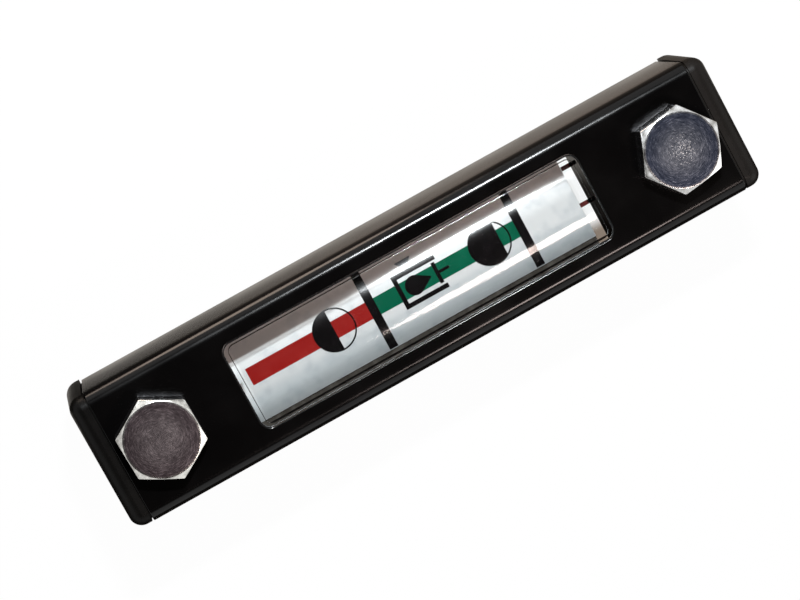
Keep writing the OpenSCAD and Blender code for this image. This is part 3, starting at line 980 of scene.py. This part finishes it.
@dataclass
class HollowBolt:
    """A hollow bolt: hex head, shank, relief, M10 thread and the oil way bored up it, as one closed surface.

    Its own axis is level: height h runs from the head's top, at the front, back to the tip, and each row of
    the surface is a closed loop round that axis.
    """

    name: str
    axis_z: float
    turn: float
    seat_y: float
    tip_y: float
    flats: float = 17 * MM
    head: float = 6 * MM
    flat_top_r: float = 8.28 * MM
    radius: float = 5 * MM
    bore: float = 2 * MM
    bore_end_y: float = -21.75 * MM
    cross_y: float = -19.25 * MM
    cross_r: float = 1.8 * MM
    relief: float = 0.9 * MM
    relief_width: float = 2 * MM
    pitch: float = 1.5 * MM
    thread_depth: float = 0.82 * MM
    chamfer: float = 1 * MM
    edge: float = 0.22 * MM
    corner: float = 0.4 * MM
    per_side: int = 28
    top_slope: float = 30
    ease: float = 0.12 * MM
    under_head: float = 1.2 * MM
    mouth: float = 0.3 * MM
    bore_slope: float = 31
    rows_per_turn: int = 14
    flank: float = 1.55
    crest_share: float = 0.2
    run_in: float = 0.6
    sharp: float = 32

    @property
    def angles(self) -> Array:
        """Directions of the surface's columns: close together at each corner of the head, wider between."""
        steps = np.linspace(-1, 1, self.per_side, endpoint=False)
        within = math.pi / 6 * np.sin(steps * math.pi / 2)
        sides = self.turn + math.pi / 6 + np.arange(6) * math.pi / 3
        return (sides[:, None] + within).ravel()

    def hexagon(self, angle: Array) -> Array:
        """Radius of the head's outline at an angle.

        Along a flat it is apothem / cos(angle from the flat's middle). Round a corner it is the far crossing
        with a circle of the corner's radius: d cos b + sqrt(corner^2 - d^2 sin^2 b), where b is the angle
        from the corner and d the circle's distance from the axis.

        Args:
            angle: angles round the axis.

        Returns:
            Radii.
        """
        apothem, sixth = self.flats / 2, math.pi / 3
        off = np.abs((angle - self.turn) % sixth - sixth / 2)
        far = (apothem - self.corner) / math.cos(sixth / 2)
        tangent = math.atan(far * math.sin(sixth / 2) / apothem)
        from_corner = sixth / 2 - off
        root = np.maximum(self.corner ** 2 - (far * np.sin(from_corner)) ** 2, 0)
        return np.where(off < tangent, apothem / np.cos(off), far * np.cos(from_corner) + np.sqrt(root))

    def head_rows(self, rows: Rows) -> None:
        """Adds the head's rows, from its pole to its underside.

        The top is flat out to flat_top_r. From there a cone of top_slope degrees falls to the hexagon, which
        it meets higher at the middle of a flat than at a corner. The flat's rim and the hexagon's two edges
        are rounded off.

        Args:
            rows: what they are added to.
        """
        flat, hexagon = self.flat_top_r, self.hexagon(rows.angle)
        slope = math.tan(math.radians(self.top_slope))
        for share in (0.0, 0.25, 0.5, 0.75, 0.9):
            rows.add(flat * share, 0.0)
        top_edge, low_edge = 0.35 * self.edge, 0.6 * self.edge
        for share in np.linspace(0, 1, 5):
            rows.add(flat - top_edge + 2 * top_edge * share, top_edge * slope * share ** 2)
        start = np.maximum(hexagon - self.edge, flat + top_edge)
        for share in (0.5, 1.0):
            reach = (flat + top_edge) * (1 - share) + start * share
            rows.add(reach, (reach - flat) * slope)
        above, below = (start - flat) * slope, (hexagon - flat) * slope + self.edge
        for share in np.linspace(0, 1, 6)[1:]:
            bend = share * math.pi / 2
            rows.add(start + (hexagon - start) * math.sin(bend),
                     above + (below - above) * (1 - math.cos(bend)))
        rows.add(hexagon, self.head / 2)
        rows.add(hexagon, self.head - low_edge)
        for share in np.linspace(0, 1, 5)[1:]:
            bend = share * math.pi / 2
            rows.add(hexagon - low_edge * (1 - math.cos(bend)),
                     self.head - low_edge + low_edge * math.sin(bend))

    def thread_rows(self, rows: Rows, start: float, end: float) -> None:
        """Adds the rows of the screw thread, each one turn of the surface at a height.

        Radius falls below the crest by thread_depth times a trapezoid wave of (height / pitch - angle / full
        turn), whose sides rise by flank and whose crests are widened by crest_share. It is eased in over
        run_in of a turn and runs out at the chamfer.

        Args:
            rows: what they are added to.
            start: height where the thread begins.
            end: height of the tip.
        """
        count = int(round((end - start) / self.pitch * self.rows_per_turn))
        for height in np.linspace(start, end, count):
            phase = (height / self.pitch - rows.angle / (2 * math.pi)) % 1.0
            wave = np.clip(np.abs(phase - 0.5) * 2 * self.flank - self.crest_share, 0, 1)
            eased = min(1.0, (height - start) / (self.pitch * self.run_in))
            crest = self.radius - max(0.0, height - (end - self.chamfer))
            rows.add(np.minimum(self.radius - self.thread_depth * wave * eased, crest), height)

    def build(self) -> bpy.types.Object:
        """Stacks the rows of head, shank, relief, thread, tip and bore.

        The shank's corners are broken by ease. The bore is countersunk by mouth and ends in a cone whose
        sides stand bore_slope degrees off its base.

        Returns:
            The bolt.
        """
        angle = self.angles
        rows = Rows(angle)
        self.head_rows(rows)
        top_y = self.seat_y - self.head
        relief_end = -top_y
        relief_start = relief_end - self.relief_width
        shank, core, ease = self.radius, self.radius - self.relief, self.ease
        for reach, height in (
            (shank + self.under_head, self.head), (shank + ease, self.head), (shank, self.head + ease),
            (shank, relief_start - ease), (shank - ease, relief_start), (core + ease, relief_start + ease),
            (core, relief_start + 2 * ease), (core, relief_end - ease), (core + ease, relief_end),
            (shank, relief_end),
        ):
            rows.add(reach, height)
        tip, bore_end = self.tip_y - top_y, self.bore_end_y - top_y
        self.thread_rows(rows, relief_end, tip)
        cone = self.bore * math.tan(math.radians(self.bore_slope))
        for reach, height in ((self.bore + self.mouth, tip), (self.bore, tip - self.mouth),
                              (self.bore, bore_end), (0.0, bore_end - cone)):
            rows.add(reach, height)
        reach, height = np.array(rows.radii), np.array(rows.heights)
        x, z = reach * np.cos(angle), self.axis_z + reach * np.sin(angle)
        points = np.stack([x, top_y + height, z], axis=-1)
        return Shell().grid(points, wrap_columns=True).piece(self.name, self.sharp)


# The sight glass


@dataclass
class SightGlass:
    """The clear moulding: slab, raised pad, vaulted chamber and two hollow spigots, as one closed surface.

    Every row of the surface is a loop round the moulding's long axis. The rows run up the outside, from the
    lower spigot's mouth to the upper one's, and back down through the bores and the chamber.
    """

    low: Vector
    high: Vector
    strip_low: Vector
    strip_high: Vector
    pad_rise: float = 1.3 * MM
    pad_half: Span = (9.65 * MM, 42.4 * MM)
    pad_r: float = 1.75 * MM
    pad_edge: float = 0.3 * MM
    slab_end: float = 44.8 * MM
    spigot_r: float = 4 * MM
    bore_r: float = 2 * MM
    groove_r: float = 3.25 * MM
    groove_width: float = 1.5 * MM
    chamber_half: Span = (7.7 * MM, 41.8 * MM)
    chamber_y: Span = (-22.7 * MM, -15.8 * MM)
    vault_crown: float = 1.4 * MM
    vault_tilt: float = 2.45 / MM
    recess_gap: float = 0.1 * MM
    ink_room: float = 0.15 * MM
    arc_steps: int = 6
    face_steps: int = 57
    side_steps: int = 8
    floor_steps: int = 25
    taper_steps: int = 9
    pad_rows: int = 39
    chamber_rows: int = 33

    @property
    def centre_y(self) -> float:
        """Depth of the long axis."""
        return sum(self.chamber_y) / 2

    @property
    def slab_front(self) -> float:
        """Depth of the slab's front, behind the pad's face."""
        return self.low.y + self.pad_rise

    def pad_width(self, z: float) -> float:
        """Half the pad's width at a height: a corner arc takes it in towards each end."""
        into = max(0.0, abs(z) - (self.pad_half[1] - self.pad_r))
        return self.pad_half[0] - self.pad_r + math.sqrt(max(0.0, self.pad_r ** 2 - into ** 2))

    def outside(self, z: float, rise: float, recess: float) -> Array:
        """The loop round the outside at a height.

        It runs across the front from +X to -X, over the pad, whose long edges are quarter circles, then back
        down the -X side, across the rear with the strip's recess in it, and up the +X side.

        Args:
            z: the height.
            rise: how far the pad stands out there.
            recess: how deep the recess is there.

        Returns:
            Points, N x 2, across and in depth.
        """
        half, front, rear = self.high.x, self.slab_front, self.high.y
        width = self.pad_width(z)
        edge = min(self.pad_edge, rise)
        turn = np.linspace(0, np.pi / 2, self.arc_steps)
        corner_x = self.chamber_half[0] * (front - self.centre_y) / (self.chamber_y[0] - self.centre_y)
        foot = [(half, front), (corner_x, front), ((corner_x + width) / 2, front), (width, front)]
        arc_y = front - rise + edge - edge * np.sin(turn)
        arc = np.stack([width - edge + edge * np.cos(turn), arc_y], axis=-1)
        top_x = np.linspace(width - edge, edge - width, self.face_steps)[1:-1]
        top = np.stack([top_x, np.full_like(top_x, front - rise)], axis=-1)
        foot = np.array(foot)
        mirror = np.array([-1.0, 1.0])
        front_part = np.vstack([foot, arc, top, (arc * mirror)[::-1], (foot * mirror)[::-1]])
        side_y = np.linspace(front, rear, self.side_steps)[1:-1]
        recess_x = self.strip_high.x + self.recess_gap
        rear_corner = self.chamber_half[0] * (rear - self.centre_y) / (self.chamber_y[1] - self.centre_y)
        lip = np.array([(half, rear), (rear_corner, rear), (recess_x, rear), (recess_x, rear - recess)])
        floor_x = np.linspace(-recess_x, recess_x, self.floor_steps)[1:-1]
        floor = np.stack([floor_x, np.full_like(floor_x, rear - recess)], axis=-1)
        left = np.stack([np.full_like(side_y, -half), side_y], axis=-1)
        return np.vstack([front_part, left, lip * mirror, floor, lip[::-1], (left * mirror)[::-1]])

    def inside(self, directions: Array) -> Array:
        """The loop round the chamber, at the same directions from the long axis as a loop outside.

        Each point lies where its ray leaves the chamber's rectangle. Its front side is then bent back into a
        vault: its slope grows by vault_tilt degrees per metre from the crown line at x = vault_crown, so it
        lies back by half that tilt, in radians, times the distance squared.

        Args:
            directions: unit vectors, N x 2.

        Returns:
            Points, N x 2.
        """
        half_y = (self.chamber_y[1] - self.chamber_y[0]) / 2
        size = np.maximum(np.abs(directions), 1e-9)
        reach = np.minimum(self.chamber_half[0] / size[:, 0], half_y / size[:, 1])
        points = directions * reach[:, None]
        x, y = points[:, 0], points[:, 1] + self.centre_y
        bow = math.radians(self.vault_tilt) / 2 * (x - self.vault_crown) ** 2
        share = np.clip((self.centre_y - y) / half_y, 0, 1)
        return np.stack([x, y + bow * share], axis=-1)

    def rows(self) -> list[tuple[Array, float]]:
        """Lays out the surface: each loop, and the height at which it lies.

        Returns:
            The loops with their heights, in the order in which the surface runs.
        """
        plain = self.outside(0.0, 0.0, 0.0) - np.array([0.0, self.centre_y])
        directions = plain / np.linalg.norm(plain, axis=1, keepdims=True)

        def circle(radius: float) -> Array:
            """A round loop about the long axis."""
            return directions * radius + np.array([0.0, self.centre_y])

        end = self.high.z
        groove = (self.slab_end + end) / 2
        edges = (groove - self.groove_width / 2, groove + self.groove_width / 2)
        spigot = [(self.slab_end, self.spigot_r), (edges[0], self.spigot_r), (edges[0], self.groove_r),
                  (edges[1], self.groove_r), (edges[1], self.spigot_r), (end, self.spigot_r)]
        pad_z, round_r = self.pad_half[1], self.pad_edge
        pad_end = [(pad_z, 0.0)] + [
            (pad_z - round_r * (1 - math.cos(turn)), self.pad_rise - round_r * (1 - math.sin(turn)))
            for turn in np.linspace(0, np.pi / 2, self.arc_steps)
        ]
        pad_end += [(pad_z - round_r - (self.pad_r - round_r) * share, self.pad_rise)
                    for share in np.linspace(0, 1, self.taper_steps)[1:]]
        depth = self.strip_high.y - self.strip_low.y + self.ink_room
        recess_low = self.strip_low.z - self.recess_gap
        recess_high = self.strip_high.z + self.recess_gap
        heights = [(-z, rise) for z, rise in pad_end]
        between = np.linspace(-0.95, 0.95, self.pad_rows) * (pad_z - self.pad_r)
        heights += [(z, self.pad_rise) for z in between]
        heights += pad_end[::-1]
        outside: list[tuple[Array, float]] = [(self.outside(-self.slab_end, 0.0, 0.0), -self.slab_end)]
        before = -self.slab_end
        for z, rise in heights:
            for edge, *depths in ((recess_low, 0.0, depth), (recess_high, depth, 0.0)):
                if before < edge <= z:
                    pad_there = rise if edge > -pad_z else 0.0
                    outside += [(self.outside(edge, pad_there, there), edge) for there in depths]
            inside_recess = recess_low < z < recess_high
            outside.append((self.outside(z, rise, depth if inside_recess else 0.0), z))
            before = z
        outside.append((self.outside(self.slab_end, 0.0, 0.0), self.slab_end))
        chamber = self.inside(directions)
        up = [(circle(r), z) for z, r in spigot]
        down = [(circle(r), -z) for z, r in spigot[::-1]]
        mouth = self.chamber_half[1]
        back = [(circle(self.bore_r), end), (circle(self.bore_r), mouth)]
        back += [(chamber, z) for z in np.linspace(mouth, -mouth, self.chamber_rows)]
        back += [(circle(self.bore_r), -mouth), (circle(self.bore_r), -end)]
        return down + outside + up + back

    def build(self) -> bpy.types.Object:
        """Stacks the loops into one surface that closes both ways.

        Returns:
            The clear moulding.
        """
        rows = self.rows()
        points = np.stack([np.stack([loop[:, 0], loop[:, 1], np.full(len(loop), z)], -1) for loop, z in rows])
        return Shell().grid(points, wrap_rows=True, wrap_columns=True).piece("sight_glass_moulding", sharp=35)


# The stage: floor, light and camera


@dataclass(frozen=True)
class Lamp:
    """An oval lamp that faces the gauge.

    Its place is given as the angle from -Y towards +X, the distance from the gauge's axis and the height.
    """

    name: str
    angle: float
    distance: float
    height: float
    width: float
    tall: float
    radiance: float
    colour: Colour
    level: bool = True

    def build(self) -> None:
        """Adds the lamp: power = pi x area x radiance."""
        data = bpy.data.lights.new(self.name, "AREA")
        data.shape = "ELLIPSE"
        data.size, data.size_y = self.width, self.tall
        data.energy = math.pi * (math.pi / 4 * self.width * self.tall) * self.radiance
        data.color = self.colour
        lamp = in_scene(self.name, data)
        turn = math.radians(self.angle)
        place = Vector((math.sin(turn), -math.cos(turn), 0)) * self.distance + Vector((0, 0, self.height))
        aim = Vector((0, 0, self.height if self.level else 0))
        facing = (aim - place).to_track_quat("-Z", "Y")
        lamp.matrix_world = Matrix.Translation(place) @ facing.to_matrix().to_4x4()
        lamp.visible_camera = False
        LOG.info("%s: %.2f W", self.name, data.energy)


@dataclass
class Studio:
    """The pale floor on which the gauge lies, the white surroundings, the lamps and the camera.

    Each lamp's row is its name, angle, distance, height, width, tall, radiance and colour.
    """

    floor_y: float
    floor_half: float = 1.4
    floor_glow: float = 0.98
    # painted reflection: the dim, shaded table floor that mirrors see
    mirrored_low: Colour = (0.045, 0.041, 0.036)
    mirrored_high: Colour = (0.26, 0.215, 0.18)
    mirrored_foot: Colour = (0.75, 0.70, 0.64)
    mirrored_right: Colour = (0.04, 0.034, 0.03)
    mirrored_z: Span = (-75 * MM, 20 * MM)
    right_from: Span = (-4 * MM, 4 * MM)
    foot: Span = (18.2 * MM, 18.9 * MM)
    greys: tuple[Colour, Colour] = ((0.86, 0.86, 0.86), (0.9, 0.9, 0.9))
    grey_patch: float = 0.2
    ambient: float = 0.06
    ambient_colour: Colour = (1.0, 0.90, 0.87)
    dark_front: Span = (0.77, 0.66)
    dark_level: float = 0.012
    lens: float = 122.383
    sensor: float = 36.0
    nearest: float = 0.01
    place: tuple[float, float, float] = (-84.965 * MM, -602.373 * MM, -43.741 * MM)
    right: tuple[float, float, float] = (0.47316651, -0.12846377, 0.87155637)
    up: tuple[float, float, float] = (-0.86900022, 0.09448916, 0.48570609)
    lamps: tuple[Lamp, ...] = (
        Lamp("cool_key", -25.6, 0.6, 0.0720, 0.030, 0.065, 870.0, (0.93, 0.97, 1.0)),
        Lamp("warm_fill", 24.2, 0.6, 0.095, 0.080, 0.140, 27.0, (1.0, 0.83, 0.77)),
        Lamp("low_warm", -83.0, 0.262, -0.028, 0.094, 0.125, 9.5, (1.0, 0.80, 0.66)),
        Lamp("soft_top", 52.0, 0.5, 0.42, 0.40, 0.40, 1.5, (1.0, 0.98, 0.95), False),
    )

    def floor_material(self) -> bpy.types.Material:
        """White, lit mostly by itself for what looks at it, and clear from behind so that it hides nothing.

        What mirrors it sees a painted reflection: a dim table floor in painted shade, brightest at the
        gauge's foot on the key's side and dark towards +X.

        Returns:
            The material.
        """
        paint = Paint("floor_white")
        straight, mirrored, through = paint.rays("Is Camera Ray", "Is Glossy Ray", "Is Transmission Ray")
        x, _, z = paint.axes()
        # painted reflection with painted shade: darker low down, brighter at the gauge's foot, dark towards
        # +X
        painted_reflection = paint.mix(z.smooth(*self.mirrored_z), self.mirrored_low, self.mirrored_high)
        painted_reflection = paint.mix(x.abs().smooth(*self.foot, 1.0, 0.0), painted_reflection, self.mirrored_foot)
        painted_reflection = paint.mix(x.smooth(*self.right_from), painted_reflection, self.mirrored_right)
        grey = paint.mix(paint.noise(self.grey_patch), *self.greys)
        white = paint.add("ShaderNodeBsdfDiffuse", {}, {"Color": grey})
        glow, painted_reflection_glow = (paint.add("ShaderNodeEmission", {}, {"Color": colour, "Strength": 1.0})
                       for colour in (WHITE, painted_reflection))
        front = paint.blend((straight + through) * self.floor_glow, white, glow)
        front = paint.blend(mirrored, front, painted_reflection_glow)
        clear = paint.add("ShaderNodeBsdfTransparent", {}, {})
        behind = paint.add("ShaderNodeNewGeometry", {}, {}, "Backfacing")
        return paint.finish(paint.blend(behind, front, clear))

    def build_floor(self) -> None:
        """A flat square that faces the gauge from behind, at the tips of its studs."""
        edge = np.array([-1.0, 1.0]) * self.floor_half
        x, z = np.meshgrid(edge, edge)
        mesh = bpy.data.meshes.new("floor")
        points = np.stack([x, np.full_like(x, self.floor_y), z], axis=-1).reshape(-1, 3)
        mesh.from_pydata(points.tolist(), [], [(0, 1, 3, 2)])
        floor = in_scene("floor", mesh)
        mesh.materials.append(self.floor_material())

    def build_world(self) -> None:
        """White to a view; to a mirror white round the sides and dark in front; else a dim even light."""
        paint = Paint("surroundings", "World")
        levels = ((WHITE, self.dark_level), (self.ambient_colour, self.ambient), (WHITE, 1.0))
        dark, dim, white = (
            paint.add("ShaderNodeBackground", {}, {"Color": colour, "Strength": strength})
            for colour, strength in levels)
        _, y, _ = paint.axes(paint.add("ShaderNodeTexCoord", {}, {}, "Generated"))
        straight, mirrored = paint.rays("Is Camera Ray", "Is Glossy Ray")
        around = paint.blend(y.smooth(-self.dark_front[0], -self.dark_front[1]), dark, white)
        unseen = paint.blend(mirrored, dim, around)
        bpy.context.scene.world = paint.finish(paint.blend(straight, unseen, white))

    def build_camera(self) -> None:
        """The camera: its columns are its right, its up and the way back from what it sees."""
        data = bpy.data.cameras.new("camera")
        data.lens = self.lens
        data.sensor_width = self.sensor
        data.clip_start = self.nearest
        data.dof.use_dof = False
        camera = in_scene("camera", data)
        right, up = Vector(self.right), Vector(self.up)
        back = right.cross(up)
        turn = Matrix((right, up, back)).transposed().to_4x4()
        camera.matrix_world = Matrix.Translation(Vector(self.place)) @ turn
        bpy.context.scene.camera = camera

    def build(self) -> None:
        """Sets the stage."""
        self.build_floor()
        self.build_world()
        for lamp in self.lamps:
            lamp.build()
        self.build_camera()
        bpy.context.scene.view_settings.view_transform = "Standard"


# The gauge


class Inks(Enum):
    """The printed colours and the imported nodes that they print."""

    RED = ("red_band",)
    GREEN = ("green_band",)
    BLACK = ("low_level_line", "high_level_line", "low_level_symbol", "high_level_symbol", "tank_symbol")
    GREY = ("edge_borders",)
    DARK_RED = ("end_marks",)


@dataclass
class Gauge:
    """The whole gauge: it reads the frame and dresses every piece."""

    ink_finishes: dict[Inks, Ink] = field(default_factory=lambda: {
        Inks.RED: Ink("red_ink", (0.32, 0.012, 0.010), (0.38, 0.026, 0.022)),
        Inks.GREEN: Ink("green_ink", (0.0005, 0.115, 0.058), (0.004, 0.145, 0.078)),
        Inks.BLACK: Ink("black_ink", (0.002, 0.0015, 0.0018), (0.008, 0.006, 0.007)),
        Inks.GREY: Ink("grey_ink", (0.045, 0.038, 0.033), (0.13, 0.115, 0.10)),
        Inks.DARK_RED: Ink("dark_red_ink", (0.20, 0.035, 0.035), (0.32, 0.09, 0.08), 43.1 * MM),
    })
    upper_turn: float = 38.6
    lower_turn: float = 1.4
    drill_past: float = 1 * MM

    def bolt(self, end: str, turn: float, finish: TurnedZinc) -> None:
        """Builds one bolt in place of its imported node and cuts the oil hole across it.

        Args:
            end: "upper" or "lower".
            turn: angle at which the head stands, in degrees.
            finish: its plating.
        """
        node = end + "_hollow_bolt"
        low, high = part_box(node)
        axis_z = (low.z + high.z) / 2
        shape = HollowBolt(end + "_bolt", axis_z, math.radians(turn), low.y + HollowBolt.head, high.y)
        bolt = shape.build()
        beyond = Vector((0, 0, shape.radius + self.drill_past))
        middle = Vector((0, shape.cross_y, axis_z))
        drill(bolt, middle - beyond, middle + beyond, shape.cross_r, shape.sharp)
        place(bolt, end + "_bolt", end + "_bolt_zinc", finish.material(), node)

    def build(self) -> None:
        """Builds or dresses every piece in turn."""
        low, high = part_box("guard")
        seal_low, seal_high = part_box("upper_head_seal")
        bolt_z = (seal_low.z + seal_high.z) / 2
        guard = Guard(low, high, bolt_z).build()
        place(guard, BODY, "guard_paint", BlackPaint().material(), "guard")

        zinc = TurnedZinc(
            "upper_bolt_zinc", bolt_z, tint=(0.19, 0.225, 0.30), pale=(0.42, 0.45, 0.51),
            bright=(0.90, 0.91, 0.91), painted_rim_shade=(0.055, 0.075, 0.14), painted_rim_share=0.8, wear_and_glint=0.15)
        self.bolt("upper", self.upper_turn, zinc)
        bronze = TurnedZinc(
            "lower_bolt_zinc", -bolt_z, tint=(0.42, 0.36, 0.38), pale=(0.60, 0.53, 0.55),
            bright=(0.88, 0.87, 0.82), painted_rim_shade=(0.22, 0.17, 0.19), painted_rim_share=0.8, wear_and_glint=0.06)
        self.bolt("lower", self.lower_turn, bronze)

        glass = SightGlass(*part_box("sight_glass"), *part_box("scale_strip"))
        place(glass.build(), BODY, "clear_plastic", ClearPlastic().material(), "sight_glass")

        cap = CapPlastic().material()
        for node in ("upper_end_cap", "lower_end_cap"):
            dress_node(node, cap)
        dress_node("scale_strip", Foil().material())
        for ink, finish in self.ink_finishes.items():
            material = finish.material()
            for node in ink.value:
                dress_node(node, material)
        rubber = SealRubber().material()
        for kind in ("head", "tank", "glass"):
            for end in ("upper", "lower"):
                dress_node(f"{end}_{kind}_seal", rubber)


def main() -> None:
    """Builds the gauge, its lights and its camera, and reports each piece."""
    logging.basicConfig(level=logging.INFO, format="%(message)s")
    Studio(floor_y=CAD_BOUNDS[1][1] + FLOOR_GAP).build()
    Gauge().build()


if __name__ == "__main__":
    main()
